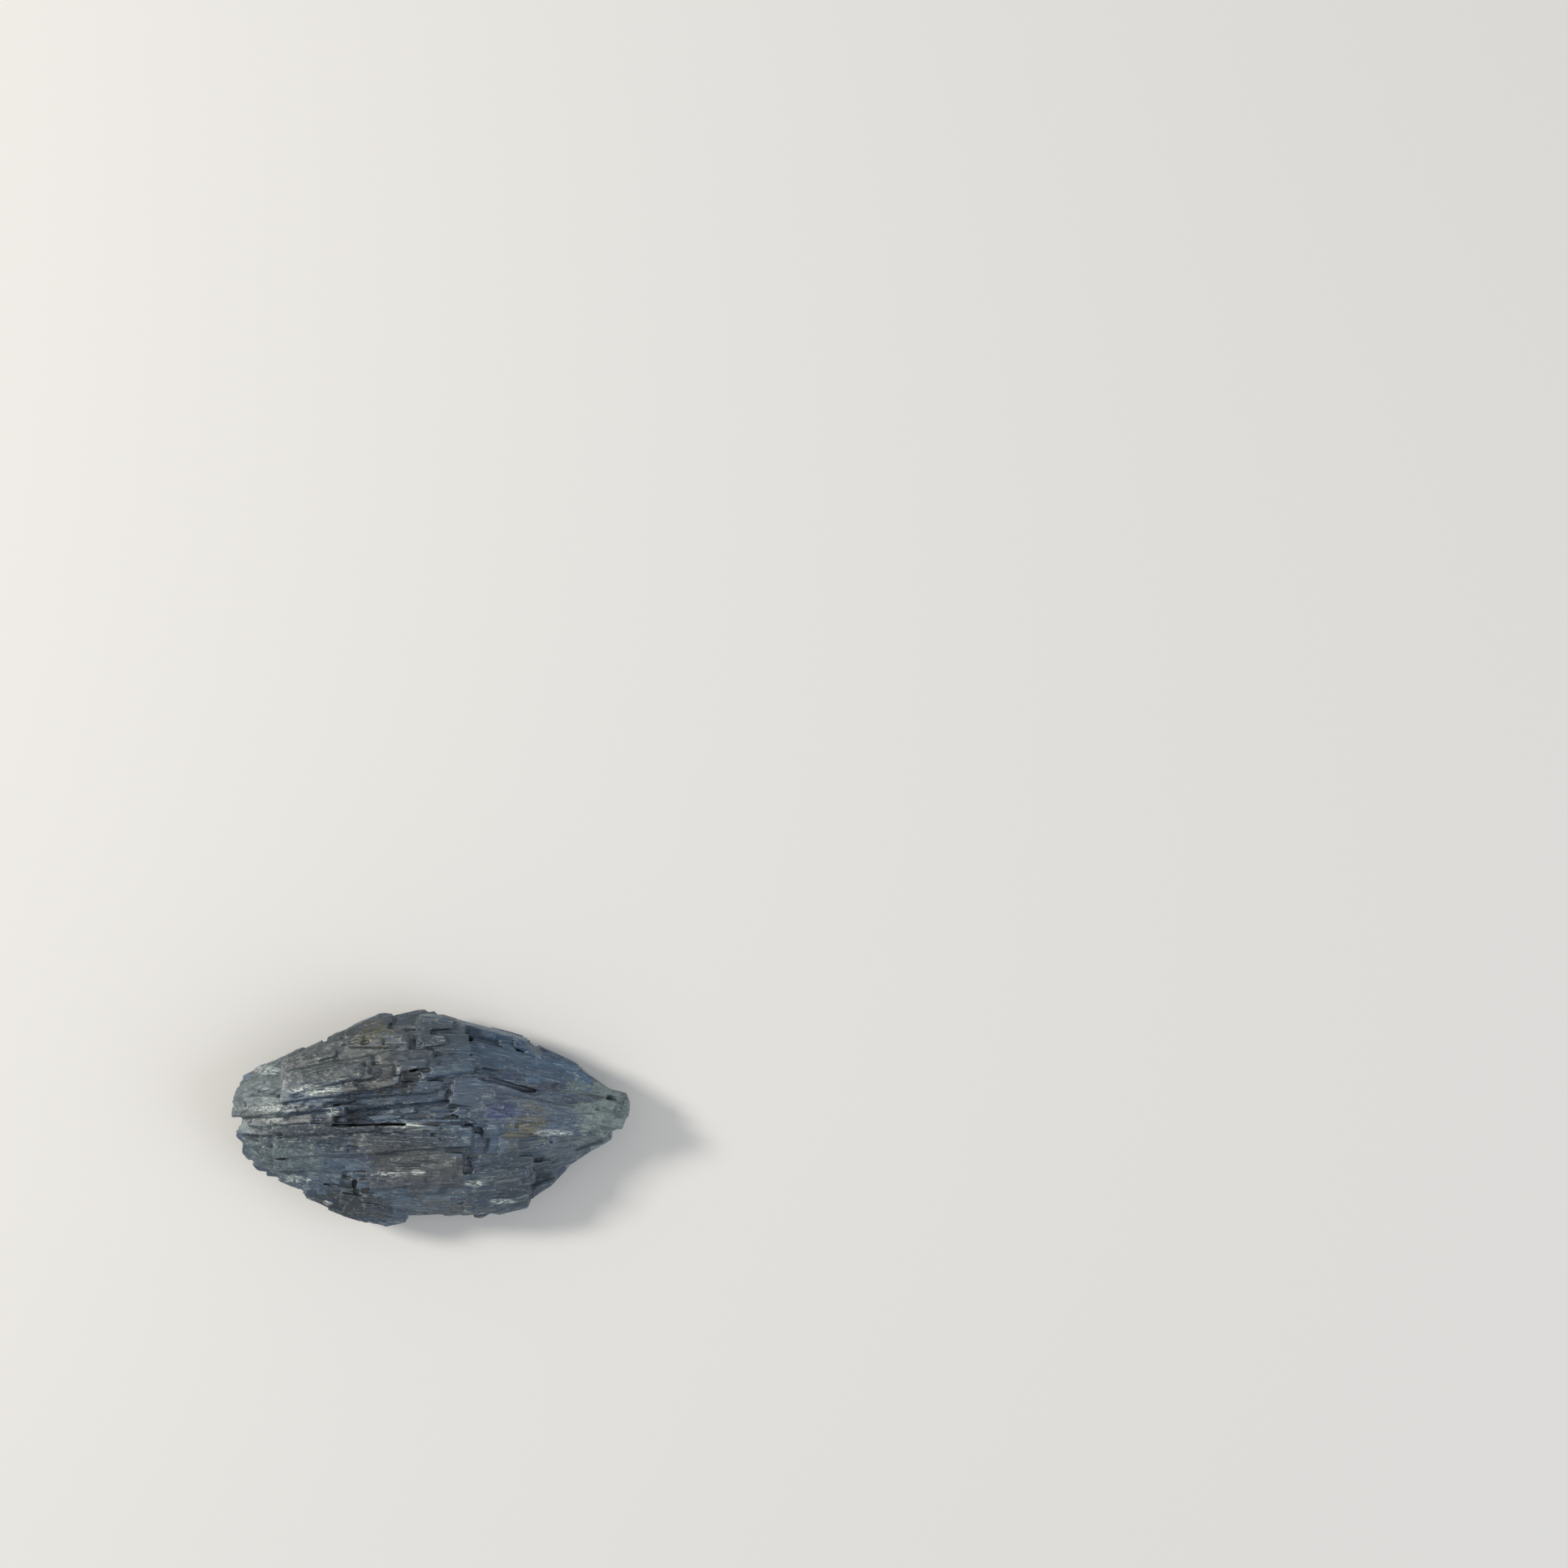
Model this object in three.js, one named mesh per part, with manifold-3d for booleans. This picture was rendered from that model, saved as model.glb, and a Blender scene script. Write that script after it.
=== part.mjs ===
// A hand specimen of blue kyanite: one natural piece, a spindle-shaped bundle of flat blades
// that grew together side by side and was broken out of its rock.
// Millimetres, +Z up. The blades run along X. The origin is at the middle of the footprint,
// on the flat cleavage face that the piece lies on.
import * as THREE from "three";
import { mergeVertices } from "three/addons/utils/BufferGeometryUtils.js";
import Module from "manifold-3d";

const wasm = await Module();
wasm.setup();

// Driving dimensions
const halfLength = 19.35; // of the whole piece, along the blades
const crown = 11.4; // height of the spindle at its middle, just above the highest blade
const equator = 4.3; // height at which the piece is widest
const endTop = 6.3; // height of the spindle's upper side at its two ends
const endUnder = 2.5; // height of its underside at its two ends
const sunk = 0.7; // how far the round underside is cut away to leave the flat resting face
const heart = { share: 0.58, plump: 0.9, blunt: 0.8 }; // the unbroken middle of the spindle
const reach = { share: 1.02, plump: 1.2, blunt: 0.6 }; // how far out the broken faces can stand
const prismSkew = 0.28; // lean of a blade's narrow faces: kyanite's prism angle is 106 degrees
const headTaper = 0.35; // share of its width that a blade loses towards its head
const sheetThick = [0.22, 0.5]; // thinnest and thickest cleavage sheet left on a blade
const finest = 0.03; // steps smaller than this are left out
const outer = { overlap: 1, stand: [-0.8, 0.2], turn: [-20, 20], deep: 2.8, follow: 0.6 };
const seeds = { blades: 1000, gaps: 500, courses: 77 }; // where the repeatable chances start
const colour = 0x52626c;

// Repeatable chance, from 0 to 1
function chanceFrom(seed) {
  let state = seed >>> 0;
  return () => {
    state = (state + 0x6d2b79f5) >>> 0;
    let mixed = Math.imul(state ^ (state >>> 15), 1 | state);
    mixed = (mixed + Math.imul(mixed ^ (mixed >>> 7), 61 | mixed)) ^ mixed;
    return ((mixed ^ (mixed >>> 14)) >>> 0) / 4294967296;
  };
}

const between = (chance, low, high) => low + (high - low) * chance();

// Silhouette seen from above, anticlockwise from the left end, as [x, y]
const silhouette = [
  [-19.35, 1.2], [-19.1, -2.6], [-17.9, -3.9], [-16.4, -5.8], [-15.5, -6.5],
  [-11.8, -6.9], [-10.5, -7.6], [-9.1, -9.4], [-7.6, -10.4], [-5.7, -10.7],
  [-4.0, -9.9], [-2.0, -9.8], [-0.2, -9.0], [2.4, -9.1], [5.1, -9.4],
  [8.3, -9.2], [9.6, -8.5], [10.3, -7.0], [11.2, -5.4], [13.2, -4.1],
  [17.4, -2.0], [19.0, -1.0], [19.35, 0.1], [18.9, 1.5], [19.1, 2.4],
  [18.4, 2.9], [16.4, 3.2], [15.0, 4.7], [13.4, 5.8], [11.4, 6.8],
  [8.2, 8.6], [3.9, 9.3], [2.2, 10.5], [0, 10.8], [-1.0, 10.1],
  [-3.4, 9.8], [-4.4, 10.4], [-7.3, 10.2], [-10.0, 8.0], [-11.9, 6.7],
  [-15.1, 6.0], [-19.0, 4.1],
];

// The blades that show from above. Each row is the blade's name, the two ends of its broad face's
// centre line, its width, its depth, the roll of its broad face towards +Y in degrees, and how
// many cleavage sheets are left on it.
const topBlades = [
  ["upper slab", [-16.4, 4.1, 6.9], [-1.4, 7.1, 9.0], 5.4, 3.4, 20, 2],
  ["slab crest", [-14.6, 3.1, 8.0], [-2.6, 4.9, 9.8], 2.8, 3.0, 16, 1],
  ["left shoulder", [-19.2, 3.6, 4.7], [-8.6, 7.0, 6.3], 3.2, 4.0, 42, 1],
  ["upper rim", [-11.6, 6.6, 5.4], [-3.4, 9.2, 6.6], 3.8, 5.0, 46, 0],
  ["rim knob left", [-8.6, 9.2, 5.4], [-3.9, 9.6, 5.9], 3.0, 4.2, 34, 0],
  ["rim knob right", [-1.9, 9.1, 6.4], [3.2, 9.4, 6.0], 3.2, 5.0, 36, 1],
  ["saddle left", [-5.6, 7.9, 7.6], [0.4, 8.5, 7.3], 2.6, 4.0, 34, 0],
  ["saddle right", [-1.6, 7.5, 8.1], [3.9, 8.0, 7.2], 2.3, 4.0, 24, 1],
  ["summit left", [-4.3, 5.7, 8.9], [1.1, 6.5, 9.0], 2.3, 4.0, 10, 1],
  ["summit right", [-1.2, 5.1, 9.2], [4.9, 5.9, 8.7], 2.3, 4.0, 22, 1],
  ["pocket floor", [-11.0, 2.7, 8.2], [2.6, 3.3, 8.9], 2.6, 4.0, -4, 1],
  ["pocket sill", [-9.6, 1.2, 9.2], [-0.6, 1.6, 9.6], 1.1, 4.0, -8, 1],
  ["left ledge high", [-19.7, 1.2, 6.5], [-8.6, 2.2, 8.9], 2.2, 4.0, 20, 2],
  ["left ledge low", [-19.5, -0.5, 6.2], [-7.8, 0.3, 9.0], 2.0, 4.0, 12, 1],
  ["left corner", [-19.6, 2.7, 5.3], [-12.2, 4.0, 7.2], 2.6, 4.4, 30, 1],
  ["middle band", [-18.6, -1.9, 6.8], [4.4, -0.7, 9.7], 3.8, 5.0, -5, 2],
  ["middle fall", [-16.4, -3.7, 6.5], [3.2, -2.9, 8.8], 2.8, 5.0, -16, 1],
  ["lower left slab", [-19.0, -3.2, 4.8], [-8.2, -4.9, 7.0], 3.8, 4.4, -24, 1],
  ["lower left rim", [-16.6, -5.2, 4.1], [-6.6, -6.8, 6.0], 3.2, 4.4, -38, 0],
  ["grey band", [-8.2, -5.0, 7.2], [4.4, -4.4, 8.2], 3.2, 5.0, -18, 2],
  ["grey ledge", [-7.6, -6.9, 6.1], [5.4, -6.3, 6.9], 2.6, 5.0, -24, 1],
  ["low knob", [-10.4, -8.2, 4.6], [-3.4, -8.9, 5.0], 4.2, 4.6, -30, 1],
  ["lower rim", [-4.6, -8.0, 5.3], [6.2, -8.1, 5.4], 3.0, 4.6, -34, 1],
  ["lobe high", [2.6, -5.2, 7.2], [10.6, -4.5, 6.5], 3.8, 5.0, -16, 1],
  ["lobe low", [2.2, -7.8, 5.7], [9.9, -7.3, 5.2], 3.8, 4.6, -26, 1],
  ["blue facet", [0.8, 7.0, 7.9], [18.4, 2.2, 4.8], 5.4, 4.4, 30, 1],
  ["ridge", [1.6, 3.5, 9.3], [18.9, 0.5, 5.6], 3.4, 5.0, 5, 1],
  ["ridge flank", [2.8, 1.1, 9.0], [17.8, -0.6, 5.5], 3.2, 5.0, -12, 1],
  ["amber step", [4.4, -1.9, 8.3], [13.2, -1.4, 6.4], 2.8, 5.0, -18, 1],
  ["tip facet", [6.8, -4.1, 6.2], [18.6, -0.5, 4.3], 4.2, 4.2, -30, 1],
  ["blue rim", [3.0, 8.5, 5.0], [16.8, 3.3, 3.9], 3.8, 4.0, 56, 0],
  ["tip", [11.6, 0.7, 4.6], [19.9, 0.2, 3.7], 3.4, 3.4, 0, 0],
  ["tip splinter", [16.2, 3.1, 4.1], [19.3, 2.1, 3.7], 1.3, 1.5, 20, 0],
];

// Open cleavage cracks and the hollow under the slab's edge, cut after the blades are joined.
// A gap is a blade-shaped cutter, in a row like those above: its ends lie on its middle line.
const gaps = [
  ["pocket", [-8.6, 2.4, 9.6], [-0.4, 3.5, 9.9], 1.6, 2.1, 10],
  ["pocket eye", [-1.6, 4.1, 9.9], [1.0, 4.5, 9.7], 0.5, 1.5, 0],
  ["long crack", [-9.8, 0.6, 10.2], [4.6, 0.8, 10.4], 0.32, 2.6, -6],
  ["ledge crack", [-13.4, 2.4, 9.2], [-8.6, 2.9, 10.2], 0.28, 1.8, 0],
  ["left crack", [-18.8, 0.3, 8.0], [-11.2, 1.0, 9.4], 0.26, 1.8, 0],
  ["slanting gap", [2.0, -3.1, 9.4], [4.1, -1.5, 9.6], 0.45, 2.1, 0],
  ["tip slot", [12.4, -2.6, 7.2], [14.4, -1.0, 7.4], 0.36, 1.9, 0],
  ["groove", [5.4, 4.8, 9.6], [16.6, 1.6, 6.6], 0.6, 1.35, 22],
  ["amber pit", [8.4, -0.9, 8.2], [10.0, -0.4, 8.0], 0.8, 1.3, 0],
  ["grey crack", [-9.6, -3.9, 8.6], [1.4, -3.7, 9.2], 0.26, 1.6, -10],
];

// A closed solid from rings of points, each ring alike in number. The rings run anticlockwise
// as seen from the last one, and look is how a ring is laid flat to fill its cap.
function loft(rings, look = (p) => new THREE.Vector2(p.x, p.y)) {
  const count = rings[0].length;
  const positions = [];
  const face = (...corners) => corners.forEach((p) => positions.push(p.x, p.y, p.z));
  for (let level = 1; level < rings.length; level += 1) {
    const [low, high] = [rings[level - 1], rings[level]];
    for (let i = 0; i < count; i += 1) {
      const j = (i + 1) % count;
      face(low[i], low[j], high[j]);
      face(low[i], high[j], high[i]);
    }
  }
  const cap = (ring, last) => {
    for (const [a, b, c] of THREE.ShapeUtils.triangulateShape(ring.map(look), [])) {
      if (last) face(ring[a], ring[b], ring[c]);
      else face(ring[a], ring[c], ring[b]);
    }
  };
  cap(rings[0], false);
  cap(rings[rings.length - 1], true);
  const geometry = new THREE.BufferGeometry();
  geometry.setAttribute("position", new THREE.Float32BufferAttribute(positions, 3));
  return geometry;
}

function solidOf(geometry) {
  const bare = new THREE.BufferGeometry();
  bare.setAttribute("position", geometry.getAttribute("position"));
  bare.setIndex(geometry.index);
  const merged = mergeVertices(bare, 1e-4);
  return new wasm.Manifold(new wasm.Mesh({
    numProp: 3,
    vertProperties: merged.attributes.position.array,
    triVerts: new Uint32Array(merged.index.array),
  }));
}

// Where the silhouette's upper (side 1) or lower (side -1) edge lies at x
function edgeAt(x, side) {
  const hits = silhouette.flatMap(([ax, ay], i) => {
    const [bx, by] = silhouette[(i + 1) % silhouette.length];
    const inside = (ax <= x && x < bx) || (bx <= x && x < ax);
    return inside ? [ay + ((by - ay) * (x - ax)) / (bx - ax)] : [];
  });
  return side > 0 ? Math.max(...hits) : Math.min(...hits);
}

// A point on the spindle. Girth is in degrees: 0 faces +Y, 90 up, 180 faces -Y, 270 down.
// The section grows with share, its height alone with plump, and a low blunt makes it squarer.
function spindlePoint(x, girth, { share = 1, plump = 1, blunt = 0.82 } = {}) {
  const angle = THREE.MathUtils.degToRad(girth);
  const swell = (v) => Math.sign(v) * Math.abs(v) ** blunt;
  const at = THREE.MathUtils.clamp(x, -halfLength + 0.1, halfLength - 0.1);
  const [upper, lower] = [edgeAt(at, 1), edgeAt(at, -1)];
  const far = Math.abs(at) / halfLength;
  const top = endTop + (crown - endTop) * (1 - far ** 2.6);
  const under = -sunk + (endUnder + sunk) * far ** 2.8;
  const middle = (upper + lower) / 2;
  const rise = Math.sin(angle) > 0 ? top - equator : equator - under;
  return new THREE.Vector3(
    x * Math.min(1, 0.6 + 0.4 * share),
    middle + ((upper - lower) / 2) * share * swell(Math.cos(angle)),
    equator + rise * share * plump * swell(Math.sin(angle)),
  );
}

// A solid of the spindle's form
function spindle(form) {
  const stations = 13;
  const sides = 12;
  const rings = Array.from({ length: stations }, (_, s) => {
    const x = halfLength * Math.sin(Math.PI * (s / (stations - 1) - 0.5));
    return Array.from({ length: sides }, (__, k) => spindlePoint(x, (360 * k) / sides, form));
  });
  return loft(rings, (p) => new THREE.Vector2(p.y, p.z));
}

// Outline of a cleavage sheet, anticlockwise. Both ends are broken off in square steps,
// because kyanite parts straight across its length, and a body's long edges have a small jog.
function sheetOutline(length, width, jogged, chance) {
  const half = width / 2;
  const breakDepth = Math.min(0.16 * length, 1.1 * width);
  const end = (x, halfHere, sign) => {
    const cut = between(chance, -0.45, 0.45) * halfHere;
    const lean = 0.12 * halfHere;
    const [first, second] = [chance() * breakDepth, chance() * breakDepth];
    return [
      [x - sign * first - lean, -halfHere], [x - sign * first + lean, cut],
      [x - sign * second, cut], [x - sign * second + lean, halfHere],
    ];
  };
  const headHalf = half * (1 - headTaper * between(chance, 0.7, 1));
  const tailHalf = half * (1 - headTaper * between(chance, 0.2, 0.6));
  const jog = between(chance, 0.35, 0.65) * length;
  const head = end(length, headHalf, 1);
  const tail = end(0, tailHalf, -1).reverse();
  const upperJog = [[jog + 0.1 * width, half], [jog, half * between(chance, 0.8, 0.95)]];
  const lowerJog = [
    [jog - 0.2 * width, -half * between(chance, 0.82, 0.96)], [jog, -half],
  ];
  const corners = jogged ? [...head, ...upperJog, ...tail, ...lowerJog] : [...head, ...tail];
  return corners.map(([x, y]) => new THREE.Vector2(x, y));
}

// One sheet as a solid in the blade's own frame: x along it, y across, its broad face at top
function sheet({ outline, top, thick, skew }) {
  const level = (z) => outline.map((p) => new THREE.Vector3(p.x, p.y + skew * (z - top), z));
  return loft([level(top - thick), level(top)]);
}

// The place of a blade's frame: x from its tail to its head, z out of its broad face
function bladeFrame(from, to, facing) {
  const along = to.clone().sub(from);
  const length = along.length();
  along.normalize();
  const across = facing.clone().cross(along).normalize();
  const out = along.clone().cross(across);
  return { place: new THREE.Matrix4().makeBasis(along, across, out).setPosition(from), length };
}

// A blade: its full body, and on it the remains of cleavage sheets that flaked off elsewhere
function blade({ from, to, facing, wide, deep, sheets, jogged = true }, seed) {
  const chance = chanceFrom(seed);
  const { place, length } = bladeFrame(from, to, facing);
  const skew = chance() < 0.5 ? prismSkew : -prismSkew;
  const outline = sheetOutline(length, wide, jogged, chance);
  const pieces = [sheet({ outline, top: 0, thick: deep, skew })];
  let top = 0;
  let [start, extent, breadth] = [0, length, wide];
  for (let i = 0; i < sheets; i += 1) {
    const thick = between(chance, ...sheetThick) * Math.min(1, wide / 2.4);
    start += between(chance, 0.02, 0.24) * extent;
    extent *= between(chance, 0.5, 0.82);
    breadth *= between(chance, 0.55, 0.8);
    const aside = (chance() < 0.5 ? -1 : 1) * (wide - breadth) * 0.42;
    top += thick;
    const remains = sheetOutline(extent, breadth, false, chance);
    remains.forEach((p) => p.set(p.x + start, p.y + aside));
    pieces.push(sheet({ outline: remains, top, thick: thick + 0.3, skew }));
  }
  return pieces.map((geometry) => solidOf(geometry.applyMatrix4(place)));
}

// A row of the tables above as a blade, which stands upright before it is rolled
function placed([, tail, head, wide, deep, roll, sheets = 0]) {
  const [from, to] = [new THREE.Vector3(...tail), new THREE.Vector3(...head)];
  const along = to.clone().sub(from).normalize();
  const facing = new THREE.Vector3(0, 0, 1)
    .applyAxisAngle(along, THREE.MathUtils.degToRad(-roll));
  return { from, to, facing, wide, deep, sheets };
}

// Blades round the flanks and the underside, in courses that follow the spindle. Each stands out
// or in and turns about its length by chance, and follows part of the spindle's bulge. The piece
// lies on the lowest courses, cut flat by the cleavage that freed it from its rock.
function outerBlades() {
  const chance = chanceFrom(seeds.courses);
  const courses = [
    { girth: -6, wide: 4.0, joints: [-18.5, -10.5, 0.5, 9.5, 18.5] },
    { girth: -36, wide: 4.4, joints: [-17, -5.5, 6, 17.5] },
    { girth: -66, wide: 5.6, joints: [-16, -1, 16] },
    { girth: -92, wide: 5.6, joints: [-17, 3, 17] },
    { girth: -118, wide: 5.4, joints: [-16, -3.5, 15] },
    { girth: -146, wide: 3.8, joints: [-17, -7, 1.5, 9, 17] },
    { girth: -171, wide: 3.2, joints: [-18.5, -12, -3, 4.5, 11.5] },
  ];
  return courses.flatMap(({ girth, wide, joints }) => joints.slice(1).map((head, i) => {
    const [tailX, headX] = [joints[i] - outer.overlap, head + outer.overlap];
    const stand = between(chance, ...outer.stand);
    const turn = THREE.MathUtils.degToRad(between(chance, ...outer.turn));
    const at = (x) => spindlePoint(THREE.MathUtils.clamp(x, -halfLength, halfLength), girth);
    const [from, to] = [at(tailX), at(headX)];
    const middle = at((tailX + headX) / 2);
    const around = spindlePoint(middle.x, girth + 4).sub(spindlePoint(middle.x, girth - 4));
    const along = to.clone().sub(from).normalize();
    const facing = around.cross(along).normalize().applyAxisAngle(along, turn);
    const bulge = middle.clone().sub(from.clone().add(to).multiplyScalar(0.5)).dot(facing);
    const shift = facing.clone().multiplyScalar(stand + outer.follow * bulge);
    return {
      from: from.add(shift), to: to.add(shift), facing,
      wide: wide * between(chance, 0.85, 1.15), deep: outer.deep, sheets: 0, jogged: false,
    };
  }));
}

// A slab under the resting face, to cut it flat
function ground() {
  const [size, depth] = [4 * halfLength, halfLength];
  return solidOf(new THREE.BoxGeometry(size, size, depth).translate(0, 0, -depth / 2));
}

function cluster() {
  let solid = solidOf(spindle(heart));
  [...topBlades.map(placed), ...outerBlades()].forEach((spec, i) => {
    for (const part of blade(spec, seeds.blades + 37 * i)) solid = solid.add(part);
  });
  const lift = 3; // brings every cutter clear of the faces above it
  gaps.map(placed).forEach((gap, i) => {
    const [cutter] = blade({ ...gap, deep: gap.deep + lift }, seeds.gaps + i);
    solid = solid.subtract(cutter.translate([0, 0, lift]));
  });
  return solid.intersect(solidOf(spindle(reach))).subtract(ground());
}

// The largest body of the joined solid, without specks, as faces about the middle of its footprint
function facetsOf(solid) {
  const shells = solid.simplify(finest).decompose();
  const made = shells.reduce((best, s) => (s.volume() > best.volume() ? s : best)).getMesh();
  const geometry = new THREE.BufferGeometry();
  geometry.setAttribute("position", new THREE.Float32BufferAttribute(made.vertProperties, 3));
  geometry.setIndex(new THREE.BufferAttribute(made.triVerts, 1));
  geometry.computeBoundingBox();
  const middle = geometry.boundingBox.getCenter(new THREE.Vector3());
  geometry.translate(-middle.x, -middle.y, 0);
  const facets = geometry.toNonIndexed();
  facets.computeVertexNormals();
  return facets;
}

const kyanite = new THREE.Mesh(
  facetsOf(cluster()),
  new THREE.MeshStandardMaterial({ color: colour, roughness: 0.34, metalness: 0, flatShading: true }),
);
kyanite.name = "kyanite_cluster";

const piece = new THREE.Group();
piece.add(kyanite);

export default piece;
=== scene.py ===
import math
import random

import bmesh
import bpy
import numpy as np
from mathutils import Matrix, Vector, noise
from mathutils.bvhtree import BVHTree


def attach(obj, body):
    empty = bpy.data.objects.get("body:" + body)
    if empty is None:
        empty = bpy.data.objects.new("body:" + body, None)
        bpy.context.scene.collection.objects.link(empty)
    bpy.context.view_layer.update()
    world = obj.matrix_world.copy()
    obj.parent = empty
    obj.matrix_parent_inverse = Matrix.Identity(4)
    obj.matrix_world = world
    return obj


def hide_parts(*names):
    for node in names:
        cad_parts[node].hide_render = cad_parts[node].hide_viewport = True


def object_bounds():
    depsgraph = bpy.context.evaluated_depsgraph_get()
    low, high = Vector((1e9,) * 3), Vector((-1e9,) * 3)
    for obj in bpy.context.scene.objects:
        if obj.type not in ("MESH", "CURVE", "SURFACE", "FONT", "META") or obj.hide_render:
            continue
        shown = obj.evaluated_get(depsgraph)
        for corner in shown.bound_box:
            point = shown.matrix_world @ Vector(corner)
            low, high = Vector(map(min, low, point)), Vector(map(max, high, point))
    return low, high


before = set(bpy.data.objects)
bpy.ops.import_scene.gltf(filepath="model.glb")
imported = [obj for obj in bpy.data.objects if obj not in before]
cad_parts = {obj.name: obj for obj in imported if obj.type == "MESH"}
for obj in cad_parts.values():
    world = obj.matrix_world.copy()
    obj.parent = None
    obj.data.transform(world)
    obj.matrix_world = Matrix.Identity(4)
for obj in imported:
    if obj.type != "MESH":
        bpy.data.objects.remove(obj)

mm = 0.001
cadBox = [list(corner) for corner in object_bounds()]


def hexColour(code):
    # an sRGB hex value as the linear numbers that a shader takes
    parts = [int(code[i:i + 2], 16) / 255 for i in (1, 3, 5)]
    return [c / 12.92 if c <= 0.04045 else ((c + 0.055) / 1.055) ** 2.4 for c in parts] + [1.0]


# The camera looks straight down, as the photograph does. The stone lies low and left in its view.
# Lengths are in millimetres, apart from the camera's clip, which is in metres.
studio = {
    "lens": 100, "sensor": 36, "clip": (0.01, 20), "cameraAt": (34.26, 32.5, 428.2),
    "floorSide": 6000, "floorColour": "#eae8e4", "floorRoughness": 0.6,
    "worldColour": "#f1f3f5", "worldStrength": 0.48,
    "lights": [
        {"name": "key", "at": (-420, 150, 320), "side": 120, "power": 2.1, "colour": "#fffaf2"},
        {"name": "fill", "at": (420, -120, 320), "side": 420, "power": 0.9, "colour": "#eef4ff"},
    ],
}


def shaped(name, data):
    made = bpy.data.objects.new(name, data)
    bpy.context.scene.collection.objects.link(made)
    return made


def addCamera():
    camera = shaped("camera", bpy.data.cameras.new("camera"))
    camera.data.lens, camera.data.sensor_width = studio["lens"], studio["sensor"]
    camera.data.clip_start, camera.data.clip_end = studio["clip"]
    camera.location = Vector(studio["cameraAt"]) * mm
    bpy.context.scene.camera = camera


def addLight(row):
    # a square light that faces the stone
    lamp = shaped(row["name"], bpy.data.lights.new(row["name"], "AREA"))
    lamp.data.energy, lamp.data.size = row["power"], row["side"] * mm
    lamp.data.color = hexColour(row["colour"])[:3]
    lamp.location = Vector(row["at"]) * mm
    lamp.rotation_euler = (-lamp.location).to_track_quat("-Z", "Y").to_euler()


def addWorld():
    world = bpy.data.worlds.new("pale room")
    world.use_nodes = True
    background = world.node_tree.nodes["Background"]
    background.inputs["Color"].default_value = hexColour(studio["worldColour"])
    background.inputs["Strength"].default_value = studio["worldStrength"]
    bpy.context.scene.world = world


def addFloor():
    half = studio["floorSide"] / 2 * mm
    corners = [(-half, -half, 0), (half, -half, 0), (half, half, 0), (-half, half, 0)]
    mesh = bpy.data.meshes.new("floor")
    mesh.from_pydata(corners, [], [(0, 1, 2, 3)])
    paper = bpy.data.materials.new("matt paper")
    paper.use_nodes = True
    shader = paper.node_tree.nodes["Principled BSDF"]
    shader.inputs["Base Color"].default_value = hexColour(studio["floorColour"])
    shader.inputs["Roughness"].default_value = studio["floorRoughness"]
    mesh.materials.append(paper)
    shaped("floor", mesh)


def addStudio():
    bpy.context.scene.view_settings.view_transform = "Standard"
    addCamera()
    for row in studio["lights"]:
        addLight(row)
    addWorld()
    addFloor()
    print("camera, lights and floor")


# The blades' own direction. They run along X and draw together towards both ends, as in a
# spindle. From here on lengths are in millimetres.
grain = {
    "halfLength": 19.3,
    "axisHeight": 4.4,
    "pinchLeft": 0.55,
    "pinchRight": 0.85,
    "mostDrawn": 0.97,
    "mostLean": 0.55,
}


def grainAt(point):
    pinch = grain["pinchRight"] if point.x > 0 else grain["pinchLeft"]
    drawn = min(grain["mostDrawn"], pinch * (point.x / grain["halfLength"]) ** 2)
    lean = -2 * pinch * point.x / grain["halfLength"] ** 2 / (1 - drawn)
    most = grain["mostLean"]
    across = max(-most, min(most, point.y * lean))
    upward = max(-most, min(most, (point.z - grain["axisHeight"]) * lean))
    return Vector((1, across, upward)).normalized()


# What the cleavage left standing on the blades, or broke out of them. Each row gives a count, the
# shortest and longest, narrowest and widest, thinnest and thickest, how many degrees askew one
# commonly lies, and the share of them whose ends break in steps.
flakes = [
    {"name": "sheets", "adds": True, "count": 300, "long": (1.6, 8.0), "wide": (0.4, 1.8),
     "thick": (0.04, 0.2), "askew": 2.5, "stepped": 0.5},
    {"name": "chips", "adds": False, "count": 240, "long": (1.0, 5.0), "wide": (0.25, 1.3),
     "thick": (0.04, 0.2), "askew": 4, "stepped": 0.5},
    {"name": "splinters", "adds": True, "count": 600, "long": (0.9, 5.5), "wide": (0.08, 0.36),
     "thick": (0.03, 0.16), "askew": 3, "stepped": 0.0},
    {"name": "grooves", "adds": False, "count": 620, "long": (1.4, 8.0), "wide": (0.05, 0.22),
     "thick": (0.06, 0.26), "askew": 2.5, "stepped": 0.0},
]
# How any flake lies: on faces that look across the grain, sunk this far into the stone or cut from
# this far above it. Its sides slope by the lean, and its length tips by about the pitch in degrees.
flakeLie = {
    "tries": 12, "acrossGrain": 0.55, "sunk": 0.4, "cutFrom": 0.5, "lean": 0.28, "pitch": 0.8,
    "widest": 0.5,  # as a share of its length
}
# Fibre ends, on the faces that look along the grain. How deep one is comes as a share of its width.
brokenEnds = {
    "count": 420, "long": (0.5, 1.6), "wide": (0.12, 0.6), "proud": (0.03, 0.3),
    "tries": 40, "alongGrain": 0.6, "proudShare": 0.5, "deep": (0.25, 0.8), "rootedIn": 0.12,
}
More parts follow.
